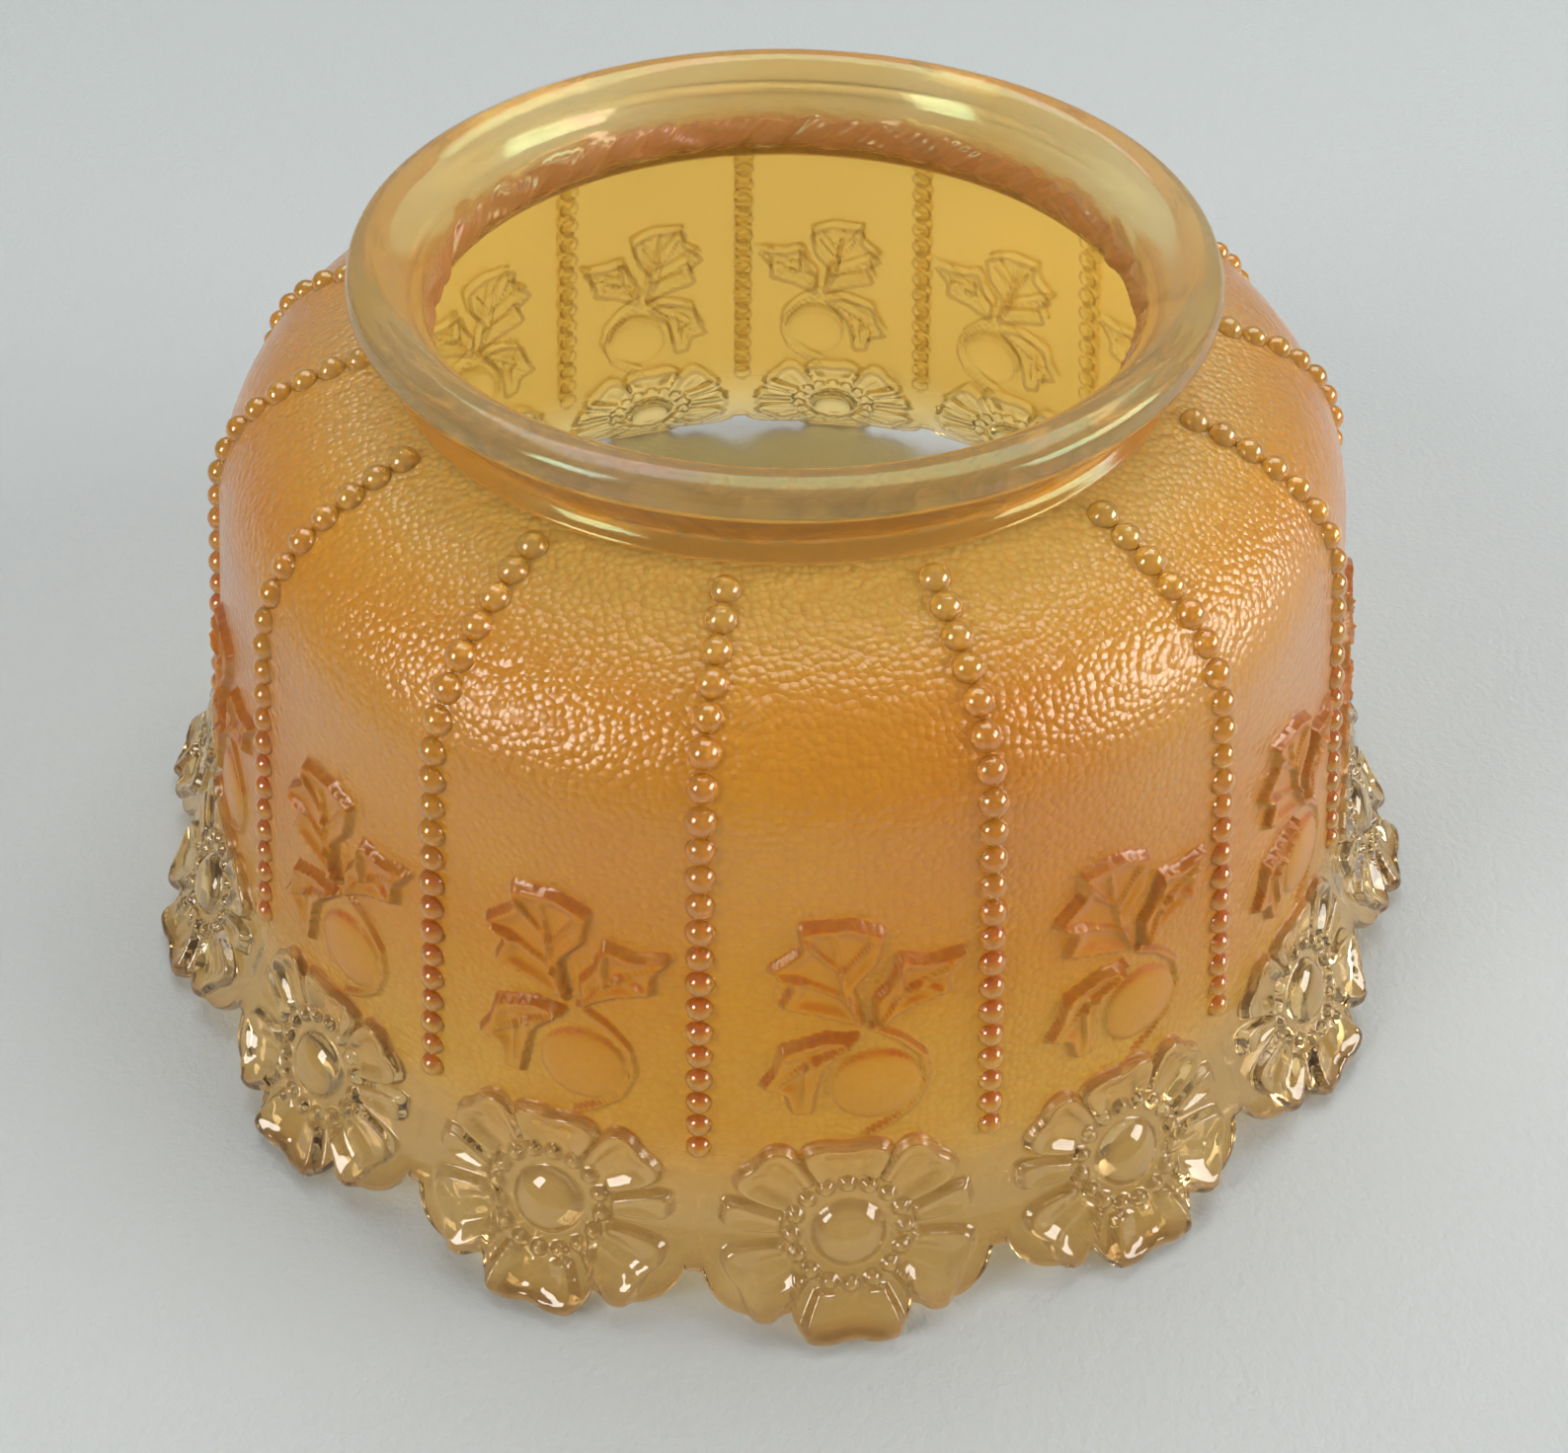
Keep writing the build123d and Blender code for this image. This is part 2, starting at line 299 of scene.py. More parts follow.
# ---------------------------------------------------------------- mesh helpers
def finish_piece(mesh, marks, material):
    """Marks, smooth shading, material and place on the body, for a mesh that has its faces."""
    for key, values in marks.items():
        layer = mesh.attributes.new(key, "FLOAT", "POINT")
        layer.data.foreach_set("value", np.asarray(values, np.float32).ravel())
    mesh.polygons.foreach_set("use_smooth", np.ones(len(mesh.polygons), bool))
    mesh.materials.append(material)
    piece = bpy.data.objects.new(mesh.name, mesh)
    bpy.context.scene.collection.objects.link(piece)
    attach(piece, "root")
    return piece


def grid_piece(name, points, faces, marks, material):
    mesh = bpy.data.meshes.new(name)
    mesh.vertices.add(len(points))
    mesh.vertices.foreach_set("co", (points * MM).astype(np.float32).ravel())
    mesh.loops.add(faces.size)
    mesh.loops.foreach_set("vertex_index", faces.astype(np.int32).ravel())
    mesh.polygons.add(len(faces))
    mesh.polygons.foreach_set("loop_start", np.arange(0, faces.size, 4, dtype=np.int32))
    mesh.update(calc_edges=True)
    mesh.validate()
    piece = finish_piece(mesh, marks, material)
    mesh.set_sharp_from_angle(angle=math.radians(62))
    return piece


def torus_faces(rows, columns):
    """Quads over a grid that closes on itself both ways, facing out."""
    row = np.arange(rows)[:, None]
    column = np.arange(columns)[None, :]
    below = (row + 1) % rows
    beside = (column + 1) % columns
    quad = [row * columns + column, below * columns + column,
            below * columns + beside, row * columns + beside]
    return np.stack(quad, -1).reshape(-1, 4)


def spin(radius, height, turns):
    return np.stack([radius * np.cos(turns), radius * np.sin(turns), height], -1)


# ---------------------------------------------------------------- the glass of the shade
COLUMNS = 96      # of points on one panel
EDGE_ROWS = 8
EDGE_BLUNT = 0.8            # 1 would round the rim's edge in half circles
EDGE_BAND = 2.4             # how far up from the rim's edge its painted brown shade reaches
local_turn = (np.arange(COLUMNS) / COLUMNS - 0.5) * PANEL
all_turns = np.concatenate([local_turn + k * PANEL for k in range(PANELS)])


def tile(values):
    return np.tile(values, (1, PANELS))


def shell_rows(s, raised):
    """Points of rows on the outer face, pushed out by their relief."""
    place, way = side.place(s), side.tangent(s)
    out = np.stack([-way[..., 1], way[..., 0]], -1)
    return place + out * raised[..., None], way, out


def panel_relief(s):
    radius = side.place(s)[..., 0]
    u = radius * local_turn[None, :]
    v = FLOWER_AT - s
    return relief(u, v)


def outer_points(s):
    """Points of the outer face with its relief, and the relief itself."""
    raised = panel_relief(s)
    return shell_rows(s, raised)[0], raised


def slope_up(raised, s):
    """How steeply the relief tips up towards the fitter; below nought it tips down."""
    fall = np.gradient(raised, axis=0) / np.gradient(s, axis=0)
    return np.clip(fall, -2, 2)


def bead_ring_shade(s):
    """Painted shade rings for the inside face, where the beads outside show through the wall."""
    radius = side.place(s)[..., 0]
    across = radius * (PANEL / 2 - np.abs(local_turn[None, :]))
    half = BEAD_PITCH / 2
    along = np.mod(s - COLUMN_START + half, BEAD_PITCH) - half
    ring_radius, ring_width = 1.45, 0.3
    ring = bump(np.hypot(across, along) - ring_radius, ring_width)
    return ring * ((s > COLUMN_START - 2) & (s < COLUMN_STOP + 2))


def surface_marks(s, raised, inside):
    """The per-point values that the glass material reads, for one panel.

    Line is how steep the relief is, and clear grows from the hazy wall to the bright rim."""
    tip = slope_up(raised, s)
    step = side.place(s)[..., 0] * PANEL / COLUMNS
    sideways = (np.roll(raised, -1, axis=1) - np.roll(raised, 1, axis=1)) / (2 * step)
    line = np.clip(np.hypot(tip, sideways), 0, 1.5)
    if inside:
        line = np.maximum(line, 1.1 * bead_ring_shade(s))
        tip = np.zeros(tip.shape)
    clear = smooth(FOOT_AT - 3.0, FLOWER_AT + 1.0, s) + 0.25 * raised * (s > FOOT_AT)
    return {
        "rise": raised,
        "tip": tip,
        "line": line,
        "clear": np.clip(clear, 0, 1),
        "inside": np.full(s.shape, 1.0 if inside else 0.0),
    }


def joined(parts):
    """One attribute table from the tables of the rows that make up a shell."""
    return {key: tile(np.concatenate([part[key] for part in parts])) for key in parts[0]}


def face_rows(count, start, stop):
    """Places down the face from one line to another, the same count on every column."""
    share = np.linspace(0, 1, count)[:, None]
    return start + share * (stop - start)


def edge_roll(stop, top):
    """The rim's rounded edge, from the outer face over to the inner one."""
    half = (top + EDGE_THICK) / 2
    place, way, out = shell_rows(stop[None, :], np.zeros((1, COLUMNS)))
    beta = np.linspace(0, math.pi, EDGE_ROWS + 2)[1:-1][:, None, None]
    push = (top - half)[None, :, None] + half[None, :, None] * np.cos(beta)
    return place + out * push + way * half[None, :, None] * np.sin(beta) * EDGE_BLUNT


def build_shell(material):
    """Wall, sprays and flowers as the one closed skin that the press leaves."""
    stop = FLOWER_AT + rim_edge(RIM_RADIUS * local_turn)
    foot = np.full(COLUMNS, FOOT_AT)
    wall_rows, rim_rows = ((170, 100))
    s_outer = np.concatenate([face_rows(wall_rows, 0 * foot, foot)[:-1],
                              face_rows(rim_rows, foot, stop)])
    outer, raised = outer_points(s_outer)
    s_inner = np.concatenate([face_rows(rim_rows * 2 // 3, stop, foot)[:-1],
                              face_rows(wall_rows * 2 // 3, foot, 0 * foot)])
    thin = THICK + (EDGE_THICK - THICK) * smooth(12.0, 2.0, stop[None, :] - s_inner)
    inner, _, _ = shell_rows(s_inner, -thin)
    edge = edge_roll(stop, raised[-1])
    grid = np.concatenate([outer, edge, inner])
    points = spin(tile(grid[..., 0]), tile(grid[..., 1]), all_turns[None, :])
    points[..., 2] = np.maximum(points[..., 2], 0.0)
    marks = joined([
        surface_marks(s_outer, raised, False)
        | {"edge": smooth(EDGE_BAND, 0.0, stop - s_outer)},
        {key: np.zeros(edge.shape[:2]) for key in ("rise", "tip", "line", "inside")}
        | {key: np.ones(edge.shape[:2]) for key in ("clear", "edge")},
        surface_marks(s_inner, panel_relief(s_inner), True)
        | {"edge": smooth(EDGE_BAND, 0.0, stop - s_inner)},
    ])
    faces = torus_faces(*points.shape[:2])
    piece = grid_piece("pressed_shade", points.reshape(-1, 3), faces, marks, material)
    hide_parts("body_wall", "upper_left_leaves", "upper_right_leaves",
                "lower_left_leaves", "fruits", "stems", "flared_rim", "top_petals",
                "upper_petals", "side_petals", "lower_petals", "bottom_petals",
                "flower_bosses", "pearl_rings")


def catmull(corners, t):
    """A smooth curve through the corners, read at t corners along."""
    padded = np.concatenate([[2 * corners[0] - corners[1]], corners,
                             [2 * corners[-1] - corners[-2]]])
    k = np.minimum(t.astype(int), len(corners) - 2)
    f = (t - k)[:, None]
    a, b, c, d = (padded[k + n] for n in range(4))
    return 0.5 * (2 * b + (c - a) * f + (2 * a - 5 * b + 4 * c - d) * f ** 2
                  + (3 * b - a - 3 * c + d) * f ** 3)


LIP_COLUMNS = 1080
LIP_STEPS = 18              # rows on each part of the lip's outline


def lip_outline():
    """The lip's closed outline in (radius, height), and 1 where it is broken and rough."""
    outer_foot = side.place(np.array([0.0]))[0]
    inner_foot = polar(CROWN_CENTRE, CROWN_ARC - THICK, CROWN_END)
    parts = [
        (0.0, [outer_foot, (45.3, 81.0), (45.3, 83.4), (46.4, 85.2), (48.6, 86.3)]),
        (0.0, [(48.6, 86.3), (49.9, 87.6), (50.0, 88.9), (49.3, 90.3), (47.6, 91.0)]),
        (0.0, [(47.6, 91.0), (45.8, 90.8), (43.8, 89.2), (42.4, 86.8), (41.9, 84.2)]),
        (1.0, [(41.9, 84.2), (41.5, 83.0), (41.5, 81.2), (42.2, 80.0)]),
        (0.0, [(42.2, 80.0), (43.6, 78.2), inner_foot]),
    ]
    rows, rough = [], []
    for broken, corners in parts:
        steps = np.linspace(0, len(corners) - 1, LIP_STEPS, endpoint=False)
        rows.append(catmull(np.array(corners, float), steps))
        rough += [broken] * LIP_STEPS
    rows.append([inner_foot])
    rough.append(0.0)
    return np.concatenate(rows), np.array(rough)


def chips(turns, height):
    """Broken facets round the opening's edge, from waves whose counts share no factor."""
    return (0.5 * np.sin(17 * turns + 3 * np.sin(5 * turns))
            + 0.35 * np.sin(41 * turns + 2 * np.sin(9 * turns + height))
            + 0.25 * np.abs(np.sin(73 * turns + height * 2.1)))


def build_lip(material):
    """The lip and neck: chipped at the opening, with a top that isn't quite level."""
    turns = np.arange(LIP_COLUMNS) / LIP_COLUMNS * 2 * math.pi
    outline, rough = lip_outline()
    radius, height = outline[:, :1], outline[:, 1:]
    soft = np.convolve(rough, np.ones(5) / 5, "same")[:, None]
    chipped = chips(turns[None, :], height) * soft
    sway = 0.12 * np.sin(2 * turns + 0.6) + 0.06 * np.sin(5 * turns)
    r = radius - 0.7 * chipped
    z = height + 0.45 * np.roll(chipped, 7, axis=1) + sway[None, :] * smooth(82, 90, height)
    z = np.minimum(z, cad_high.z / MM)
    points = spin(r, z, turns[None, :])
    faces = torus_faces(*points.shape[:2])[:, ::-1]
    marks = {"rough": np.repeat(soft, LIP_COLUMNS, 1)}
    piece = grid_piece("flared_lip", points.reshape(-1, 3), faces, marks, material)
    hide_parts("fitter_lip", "fitter_neck")


BEAD_RINGS = 8
BEAD_SPOKES = 18
BEAD_RADIUS = 1.78          # of the top bead
BEAD_SHRINK = 0.012         # from each bead to the next one down
BEAD_SQUASH = 0.95          # a dome's rise for a radius of 1
BEAD_SINK = 0.15


def bead_frame(place, way, turn):
    """A bead's middle, and its directions to the right, down the column and outwards."""
    down = Vector((way[0] * math.cos(turn), way[0] * math.sin(turn), way[1]))
    right = Vector((-math.sin(turn), math.cos(turn), 0))
    out = right.cross(down) * -1
    centre = Vector((place[0] * math.cos(turn), place[0] * math.sin(turn), place[1]))
    return centre - out * BEAD_SINK, right, down, out


def bead_points(centre, right, down, out, size):
    """A bead's rings of points and then its two ends, with their values for the material."""
    points, tips, sunk = [], [], []
    for b in np.linspace(0, math.pi, BEAD_RINGS + 2)[1:-1]:
        for g in np.arange(BEAD_SPOKES) / BEAD_SPOKES * 2 * math.pi:
            local = (right * math.sin(b) * math.cos(g) + down * math.sin(b) * math.sin(g)
                     + out * math.cos(b) * BEAD_SQUASH)
            points.append(centre + local * size)
            tips.append(-math.sin(b) * math.sin(g))
            sunk.append(1.0 if b > math.pi / 2 else 0.0)
    points.append(centre + out * size * BEAD_SQUASH)
    points.append(centre - out * size * BEAD_SQUASH)
    return points, tips + [0.0, 0.0], sunk + [0.0, 1.0]


def bead_faces(base):
    """The faces of a bead whose points start at base."""
    faces = []
    last = base + (BEAD_RINGS - 1) * BEAD_SPOKES
    for upper in range(base, last, BEAD_SPOKES):
        lower = upper + BEAD_SPOKES
        for spoke in range(BEAD_SPOKES):
            after = (spoke + 1) % BEAD_SPOKES
            faces.append((upper + spoke, lower + spoke, lower + after, upper + after))
    top = last + BEAD_SPOKES
    for spoke in range(BEAD_SPOKES):
        after = (spoke + 1) % BEAD_SPOKES
        faces.append((top, base + spoke, base + after))
        faces.append((top + 1, last + after, last + spoke))
    return faces


def build_beads(material):
    """A column of domes between every two panels, a little larger towards the top."""
    s = COLUMN_START + BEAD_PITCH * np.arange(BEADS)
    place, way = side.place(s), side.tangent(s)
    points, faces, tips, sunk = [], [], [], []
    for column in range(PANELS):
        turn = (column + 0.5) * PANEL
        for n in range(BEADS):
            uneven = 0.05 * math.sin(3.1 * n + 1.7 * column)
            size = BEAD_RADIUS - BEAD_SHRINK * n + uneven
            faces += bead_faces(len(points))
            bead = bead_points(*bead_frame(place[n], way[n], turn), size)
            points += bead[0]
            tips += bead[1]
            sunk += bead[2]
    mesh = bpy.data.meshes.new("bead_rows")
    mesh.from_pydata([point * MM for point in points], [], faces)
    mesh.flip_normals()
    piece = finish_piece(mesh, {"tip": tips, "sunk": sunk}, material)
    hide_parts("bead_columns")


# ---------------------------------------------------------------- materials
class Graph:
    """Short names for building one material's nodes."""

    def __init__(self, name):
        self.material = bpy.data.materials.new(name)
        self.material.use_nodes = True
        self.tree = self.material.node_tree
        self.shader = self.tree.nodes["Principled BSDF"]

    def node(self, kind, inputs=None, **settings):
        made = self.tree.nodes.new("ShaderNode" + kind)
        for key, value in settings.items():
            setattr(made, key, value)
        for key, value in (inputs or {}).items():
            self.put(made.inputs[key], value)
        return made

    def put(self, socket, value):
        if isinstance(value, bpy.types.NodeSocket):
            self.tree.links.new(value, socket)
        elif isinstance(value, tuple) and len(value) == 3 and socket.type == "RGBA":
            socket.default_value = (*value, 1)
        else:
            socket.default_value = value

    def maths(self, operation, a, b, clamp=False):
        made = self.node("Math", {0: a, 1: b}, operation=operation, use_clamp=clamp)
        return made.outputs[0]

    def remap(self, value, low, high, out_low=0.0, out_high=1.0):
        inputs = {"Value": value, "From Min": low, "From Max": high,
                  "To Min": out_low, "To Max": out_high}
        return self.node("MapRange", inputs, interpolation_type="SMOOTHSTEP").outputs[0]

    def mix(self, share, a, b):
        """A colour between a and b; a Mix node's colours are its sockets 6 and 7."""
        made = self.node("Mix", {0: share, 6: a, 7: b}, data_type="RGBA")
        return made.outputs[2]

    def mark(self, name):
        """One of the per-point values that the builders store on their meshes."""
        return self.node("Attribute", None, attribute_name=name).outputs["Fac"]

    def noise(self, scale, detail, rough=0.5):
        inputs = {"Vector": self.place(), "Scale": scale, "Detail": detail, "Roughness": rough}
        return self.node("TexNoise", inputs).outputs["Fac"]

    def place(self):
        return self.node("TexCoord").outputs["Object"]

    def height(self):
        """Height over the rest plane in design millimetres."""
        parts = self.node("SeparateXYZ", {0: self.place()})
        return self.maths("MULTIPLY", parts.outputs["Z"], 1 / MM)

    def backfacing(self):
        """1 where a ray meets the face from within the glass."""
        return self.node("NewGeometry").outputs["Backfacing"]

    def facing(self, blend):
        return self.node("LayerWeight", {"Blend": blend}).outputs["Facing"]

    def set(self, **values):
        """Inputs of the material's shader, with _ for each space in a name."""
        for key, value in values.items():
            self.put(self.shader.inputs[key.replace("_", " ")], value)


AMBER = (0.90, 0.35, 0.006)
DEEP_AMBER = (0.84, 0.26, 0.004)
GOLD = (0.92, 0.48, 0.045)
PALE_GOLD = (0.97, 0.70, 0.20)
ROSE_SHEEN = (0.96, 0.46, 0.24)
RED_TIP_SHADE = (0.78, 0.115, 0.005)
LEAF_ORANGE = (0.74, 0.20, 0.020)
BROWN_LINE_SHADE = (0.44, 0.14, 0.010)
STRAW = (1.0, 0.60, 0.17)
INNER_AMBER = (0.99, 0.58, 0.07)
INNER_STRAW = (0.99, 0.70, 0.22)
INNER_LINE_SHADE = (0.60, 0.27, 0.03)
EDGE_BROWN_SHADE = (0.66, 0.28, 0.07)
INNER_GLOW = (1.0, 0.60, 0.08, 1)
GOLD_SHEEN = (1.0, 0.74, 0.42)
PALE_SHEEN = (1.0, 0.93, 0.82)
LIP_SHEEN = (1.0, 0.90, 0.72, 1)
LIP_GOLD = (0.99, 0.68, 0.24)
LIP_STRAW = (0.99, 0.80, 0.40)
NECK_AMBER = (0.88, 0.50, 0.12)
LIP_ROSE_SHEEN = (0.95, 0.60, 0.38)
GROUND_EDGE = (0.62, 0.26, 0.10)
BARE_GLASS = (0.99, 0.90, 0.65)
GLASS_IOR = 1.5
LUSTRE_IOR = 1.72           # the sprayed metal film reflects more than bare glass
FILM_IOR = 1.6
GRAINS_PER_METRE = 1050.0


def marigold_colour(graph):
    """Gold at the crown, amber below, deeper in patches, and a painted rose sheen where it turns
    away.

    Heights here and below are in design millimetres."""
    height = graph.height()
    patches = graph.remap(graph.noise(22.0, 3.0), 0.38, 0.66)
    colour = graph.mix(patches, AMBER, DEEP_AMBER)
    colour = graph.mix(graph.remap(height, 72.0, 80.0), colour, GOLD)
    colour = graph.mix(graph.remap(height, 76.0, 82.0), colour, PALE_GOLD)
    low_gold = graph.maths("MULTIPLY", graph.remap(height, 50.0, 26.0),
                           graph.remap(graph.noise(30.0, 2.0), 0.35, 0.65, 0.3, 0.95))
    colour = graph.mix(low_gold, colour, GOLD)
    # painted sheen: rose tint where the face turns away from the camera
    rosy_sheen = graph.maths("MULTIPLY", graph.remap(graph.facing(0.35), 0.25, 0.85, 0.0, 0.75),
                       graph.remap(height, 24.0, 40.0, 0.25, 1.0))
    return graph.mix(rosy_sheen, colour, ROSE_SHEEN)


def stipple(graph, strength):
    """The pebbled outer face: fine rounded grains, under a millimetre apart."""
    cells = {"Vector": graph.place(), "Scale": GRAINS_PER_METRE, "Randomness": 0.75}
    grains = graph.node("TexVoronoi", cells, feature="F1").outputs["Distance"]
    rise = graph.maths("SUBTRACT", 1.0, grains)
    normal = graph.node("Bump", {"Strength": strength, "Distance": 0.00035, "Height": rise})
    return grains, normal.outputs[0]


def film(graph, low=330.0, high=560.0):
    """The metallic spray's thin film in nanometres, uneven from place to place."""
    return graph.remap(graph.noise(35.0, 3.0), 0.3, 0.7, low, high)


def bead_glass():
    """Glassy domes; the half sunk in the wall takes no colour of its own."""
    graph = Graph("bead_glass")
    tip = graph.mark("tip")
    # painted shade: deeper red on the lower beads' faces that tip up towards the fitter
    tip_shade = graph.maths("MULTIPLY", graph.remap(tip, 0.22, 0.75),
                         graph.remap(graph.height(), 60.0, 46.0, 0.0, 0.8))
    colour = graph.mix(0.45, marigold_colour(graph), GOLD)
    colour = graph.mix(tip_shade, colour, RED_TIP_SHADE)
    bare = graph.maths("MAXIMUM", graph.backfacing(), graph.mark("sunk"))
    graph.set(Base_Color=graph.mix(bare, colour, BARE_GLASS), IOR=GLASS_IOR, Roughness=0.14)
    graph.set(Transmission_Weight=graph.remap(bare, 0.0, 1.0, 0.6, 0.97))
    graph.set(Specular_Tint=(*GOLD_SHEEN, 1), Coat_Weight=1.0, Coat_Roughness=0.06,
              Coat_IOR=LUSTRE_IOR)
    graph.set(Thin_Film_Thickness=film(graph), Thin_Film_IOR=FILM_IOR)
    return graph.material


def shade_glass():
    """The pressed glass of wall and rim: hazy marigold above, clear straw at the flowers."""
    graph = Graph("shade_glass")
    multiply = partial(graph.maths, "MULTIPLY")
    clear, inside, line = graph.mark("clear"), graph.mark("inside"), graph.mark("line")
    outside = graph.maths("SUBTRACT", 1.0, inside)
    hazy = graph.maths("SUBTRACT", 1.0, clear)
    within_glass = graph.backfacing()
    in_air = graph.maths("SUBTRACT", 1.0, within_glass)
    height = graph.height()

    # painted shade: deeper red where the relief tips up towards the fitter and brown in the steep
    # lines; orange leaves
    tip_shade = multiply(graph.remap(graph.mark("tip"), 0.15, 0.6), graph.remap(height, 66.0, 54.0))
    tip_shade = multiply(tip_shade, hazy)
    tip_shade = multiply(tip_shade, graph.remap(graph.noise(160.0, 2.0), 0.3, 0.6, 0.45, 1.0))
    raised = multiply(graph.remap(graph.mark("rise"), 0.15, 0.6, 0.0, 0.28), hazy)
    colour = graph.mix(raised, marigold_colour(graph), LEAF_ORANGE)
    colour = graph.mix(tip_shade, colour, RED_TIP_SHADE)
    colour = graph.mix(clear, colour, STRAW)
    # painted shade: brown along the steep edges of the outer relief
    shadow = graph.remap(line, 0.3, 1.0, 0.0, 0.5)
    colour = graph.mix(multiply(shadow, outside), colour, BROWN_LINE_SHADE)

    # painted shade: darker lines on the inside face where the relief and the beads outside show
    # through the wall
    inner = graph.mix(clear, INNER_AMBER, INNER_STRAW)
    inner = graph.mix(graph.remap(line, 0.25, 0.9, 0.0, 0.45), inner, INNER_LINE_SHADE)
    colour = graph.mix(inside, colour, inner)
    # painted shade: darker brown along the rim's edge
    colour = graph.mix(multiply(graph.mark("edge"), 0.55), colour, EDGE_BROWN_SHADE)

    # grains on the outer face, deepest on the crown and faint on raised leaves, with painted shade
    # between the grains
    pebbled = multiply(multiply(hazy, outside), in_air)
    pebble_depth = multiply(graph.remap(graph.mark("rise"), 0.2, 0.05, 0.1, 0.5),
                            graph.remap(height, 68.0, 80.0, 1.0, 1.7))
    grains, normal = stipple(graph, multiply(pebbled, pebble_depth))
    # painted shade: deeper amber between the grains
    grain_gap_shade = multiply(pebbled, graph.remap(grains, 0.35, 0.75, 0.0, 0.3))
    colour = graph.mix(grain_gap_shade, colour, DEEP_AMBER)
    colour = graph.mix(within_glass, colour, BARE_GLASS)
    through = graph.remap(clear, 0.0, 1.0, 0.45, 0.86)
    through = graph.maths("ADD", through, multiply(inside, 0.15), clamp=True)
    through = graph.maths("MAXIMUM", through, multiply(within_glass, 0.97))
    graph.set(Base_Color=colour, Normal=normal, IOR=GLASS_IOR, Transmission_Weight=through)
    graph.set(Roughness=graph.remap(clear, 0.0, 0.9, 0.34, 0.05))
    graph.set(Specular_Tint=graph.mix(clear, GOLD_SHEEN, PALE_SHEEN))

    # the coat is the sprayed metal above and the fire polish on the flowers
    polished = multiply(clear, in_air)
    sprayed = multiply(pebbled, graph.remap(height, 40.0, 62.0, 0.15, 0.75))
    sprayed = multiply(sprayed, graph.remap(graph.mark("rise"), 0.15, 0.6, 1.0, 0.4))
    coat = graph.maths("MAXIMUM", sprayed, multiply(polished, 0.5))
    graph.set(Coat_Weight=coat, Coat_IOR=LUSTRE_IOR, Coat_Normal=normal)
    graph.set(Coat_Roughness=graph.remap(clear, 0.1, 0.8, 0.24, 0.05))

    # painted glow: the inside face gives off light of its own, in place of light scattered in the
    # glass
    glow = multiply(multiply(inside, in_air), graph.remap(line, 0.25, 0.9, 1.0, 0.35))
    graph.set(Emission_Color=INNER_GLOW, Emission_Strength=multiply(glow, 0.17))
    return graph.material


def lip_glass():
    """Clear glass with a gold sheen; the ground edge of the opening is rough and reddish."""
    graph = Graph("lip_glass")
    rough = graph.mark("rough")
    height = graph.height()
    colour = graph.mix(graph.remap(graph.noise(28.0, 2.0), 0.35, 0.65), LIP_GOLD, LIP_STRAW)
    colour = graph.mix(graph.remap(height, 86.5, 81.0), colour, NECK_AMBER)
    # painted sheen: rose tint where the lip turns away from the camera
    colour = graph.mix(graph.remap(graph.facing(0.4), 0.4, 0.95, 0.0, 0.5), colour, LIP_ROSE_SHEEN)
    colour = graph.mix(graph.maths("MULTIPLY", rough, 0.85), colour, GROUND_EDGE)
    graph.set(Base_Color=colour, IOR=GLASS_IOR, Specular_Tint=LIP_SHEEN)
    graph.set(Transmission_Weight=graph.remap(rough, 0.0, 1.0, 0.74, 0.35))
    graph.set(Roughness=graph.remap(rough, 0.0, 1.0, 0.13, 0.30))
    graph.set(Thin_Film_Thickness=film(graph, 380.0, 520.0), Thin_Film_IOR=FILM_IOR)
    return graph.material


def floor_paper():
    graph = Graph("floor_paper")
    fine = graph.noise(800.0, 3.0, 0.6)
    grain = graph.node("Bump", {"Strength": 0.5, "Distance": 0.0005, "Height": fine})
    graph.set(Base_Color=(0.60, 0.63, 0.62), Roughness=0.7, Normal=grain.outputs[0])
    return graph.material


build_lip(lip_glass())
build_shell(shade_glass())
build_beads(bead_glass())


# ---------------------------------------------------------------- stage, light and camera
def build_floor():
    size = 2.4              # metres from the middle to each side
    points = [(-size, -size, 0), (size, -size, 0), (size, size, 0), (-size, size, 0)]
    mesh = bpy.data.meshes.new("floor")
    mesh.from_pydata(points, [], [(0, 1, 2, 3)])
    floor = bpy.data.objects.new("floor", mesh)
    floor.location.z = cad_low.z - 0.0002
    bpy.context.scene.collection.objects.link(floor)
    mesh.materials.append(floor_paper())


# The camera that matches the photo, in degrees and design millimetres
CAMERA_AZIMUTH = -11.6
CAMERA_DISTANCE = 238.8
CAMERA_PITCH = 44.376
CAMERA_AIM = 17.0            # height of the point the camera goes round
CAMERA_TILT = -1.417
CAMERA_PAN = -0.10
CAMERA_ROLL = -0.484
CAMERA_LENS = 37.15


def build_light(name, azimuth, elevation, distance, size, power, colour):
    """A window: degrees round from the camera and up, metres away, watts."""
    lamp = bpy.data.lights.new(name, "AREA")
    lamp.shape = "RECTANGLE"
    lamp.size, lamp.size_y = size
    lamp.energy = power
    lamp.color = colour
    piece = bpy.data.objects.new(name, lamp)
    a, e = math.radians(azimuth + CAMERA_AZIMUTH), math.radians(elevation)
    back = Vector((math.sin(a) * math.cos(e), -math.cos(a) * math.cos(e), math.sin(e)))
    piece.location = back * distance + Vector((0, 0, 0.04))
    piece.rotation_mode = "QUATERNION"
    piece.rotation_quaternion = back.to_track_quat("Z", "Y")
    bpy.context.scene.collection.objects.link(piece)


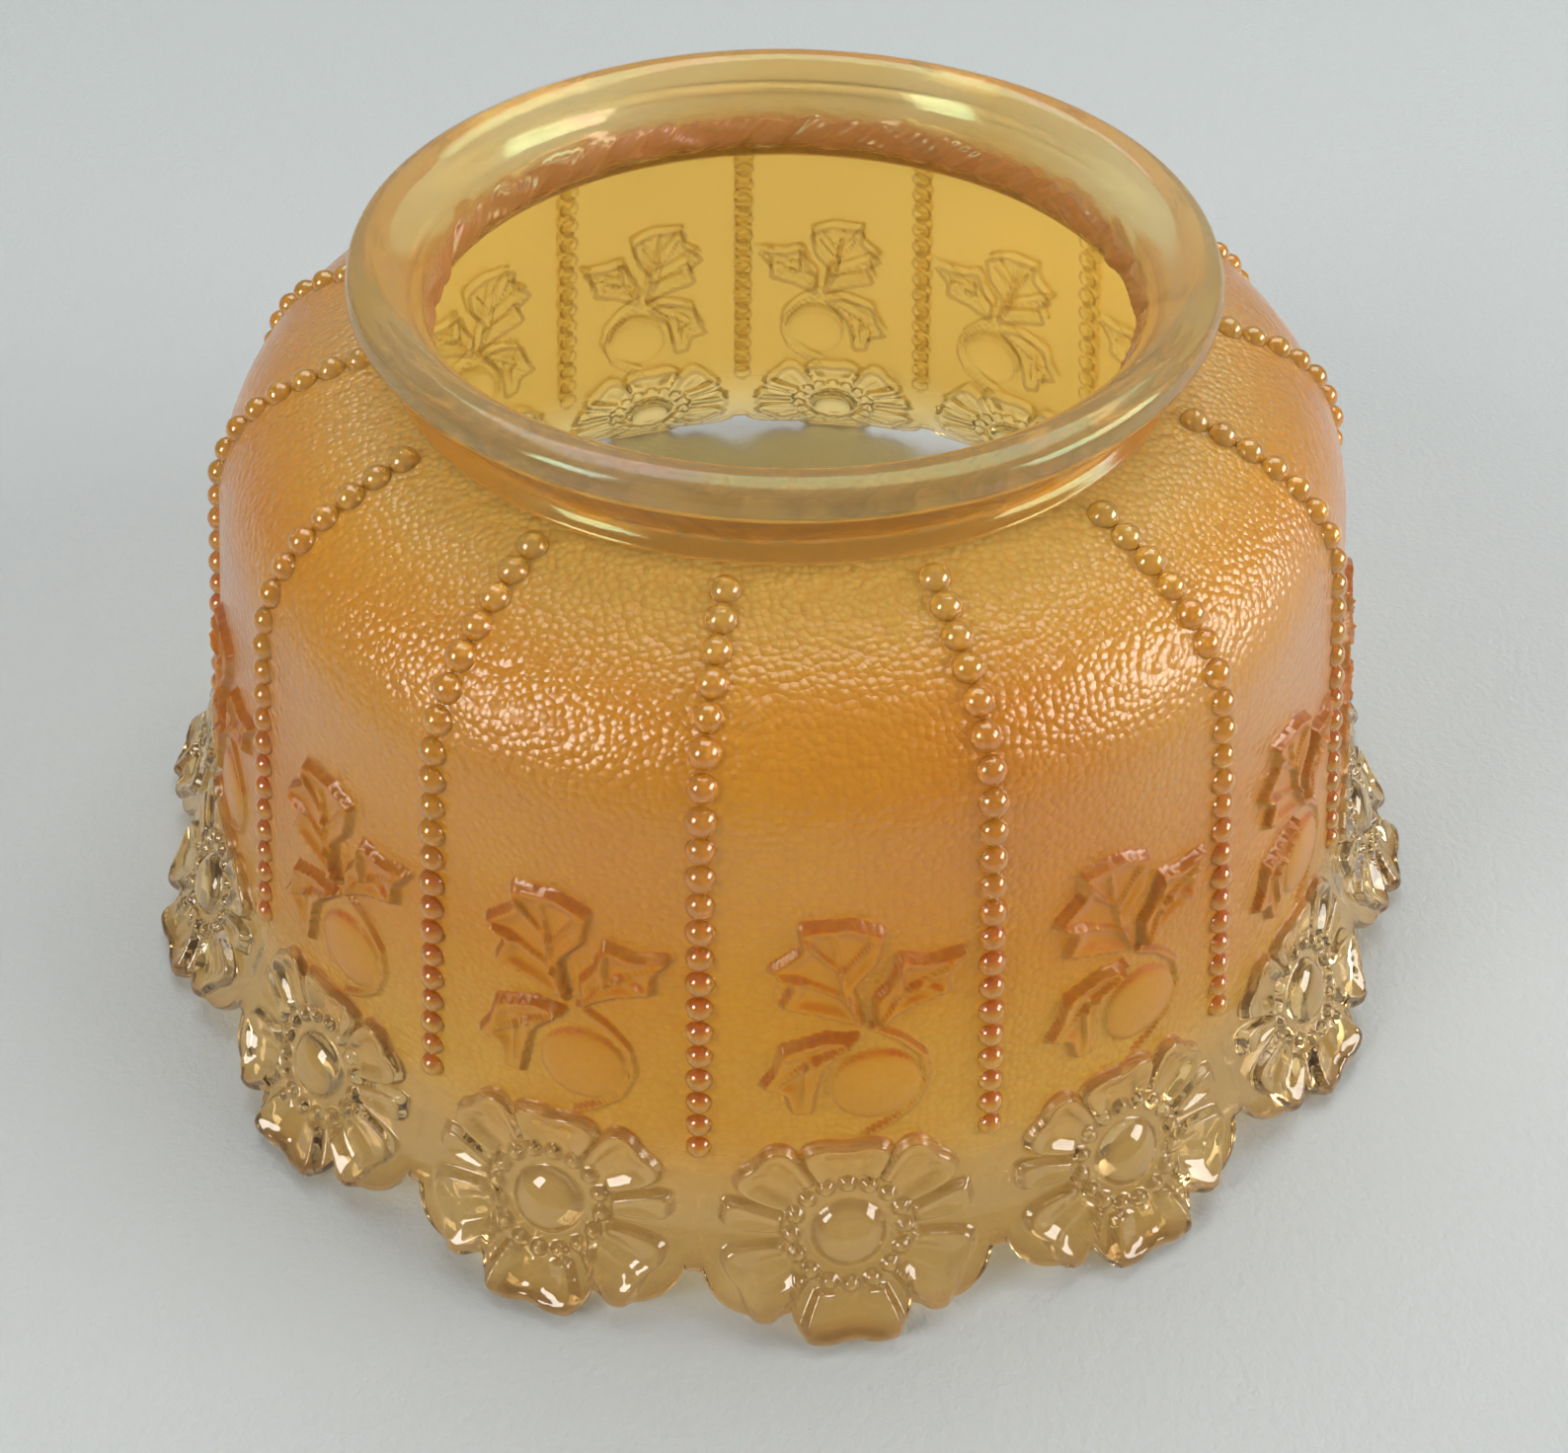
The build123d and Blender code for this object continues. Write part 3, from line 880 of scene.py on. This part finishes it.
def build_camera():
    camera = bpy.data.cameras.new("camera")
    camera.lens = CAMERA_LENS
    camera.sensor_width = 36.0
    camera.clip_start, camera.clip_end = 0.01, 20.0
    piece = bpy.data.objects.new("camera", camera)
    bpy.context.scene.collection.objects.link(piece)
    pitch = math.radians(CAMERA_PITCH)
    place = Vector((0, -CAMERA_DISTANCE * math.cos(pitch),
                    CAMERA_DISTANCE * math.sin(pitch) + CAMERA_AIM)) * MM
    forward = Vector((0, math.cos(pitch), -math.sin(pitch)))
    up = Vector((0, math.sin(pitch), math.cos(pitch)))
    right = Vector((1, 0, 0))
    pan = Matrix.Rotation(math.radians(CAMERA_PAN), 3, up)
    forward, right = pan @ forward, pan @ right
    tilt = Matrix.Rotation(math.radians(CAMERA_TILT), 3, right)
    forward, up = tilt @ forward, tilt @ up
    roll = Matrix.Rotation(math.radians(CAMERA_ROLL), 3, forward)
    right, up = roll @ right, roll @ up
    axes = Matrix((right, up, -forward)).transposed().to_4x4()
    swing = Matrix.Rotation(math.radians(CAMERA_AZIMUTH), 4, "Z")
    piece.matrix_world = swing @ Matrix.Translation(place) @ axes
    bpy.context.scene.camera = piece


STUDIO_LIGHT = 0.24
STUDIO_SEEN = 0.5


def build_world():
    """A dim studio for lighting, and a pale one where the camera looks past the floor."""
    world = bpy.data.worlds.new("studio")
    bpy.context.scene.world = world
    world.use_nodes = True
    tree = world.node_tree
    background = tree.nodes["Background"]
    background.inputs["Color"].default_value = (0.95, 0.98, 1.0, 1)
    seen = tree.nodes.new("ShaderNodeLightPath").outputs["Is Camera Ray"]
    strength = tree.nodes.new("ShaderNodeMapRange")
    tree.links.new(seen, strength.inputs["Value"])
    strength.inputs["To Min"].default_value = STUDIO_LIGHT
    strength.inputs["To Max"].default_value = STUDIO_SEEN
    tree.links.new(strength.outputs[0], background.inputs["Strength"])


DAYLIGHT = (1.0, 0.985, 0.97)
build_floor()
build_light("left_window", -54, 31, 1.1, (0.36, 0.46), 4.4, DAYLIGHT)
build_light("right_window", 80, 23, 1.1, (0.75, 0.42), 6.8, DAYLIGHT)
build_light("back_window", 172, 64, 1.3, (1.3, 0.9), 9, (0.97, 0.99, 1.0))
build_camera()
build_world()

# Few enough bounces, and coarse enough sampling, for glass in glass to render in its time
scene = bpy.context.scene
scene.view_settings.view_transform = "Standard"
scene.cycles.max_bounces = 7
scene.cycles.transmission_bounces = 6
scene.cycles.diffuse_bounces = 3
scene.cycles.glossy_bounces = 3
scene.cycles.caustics_reflective = False
scene.cycles.adaptive_threshold = 0.12
scene.cycles.adaptive_min_samples = 8
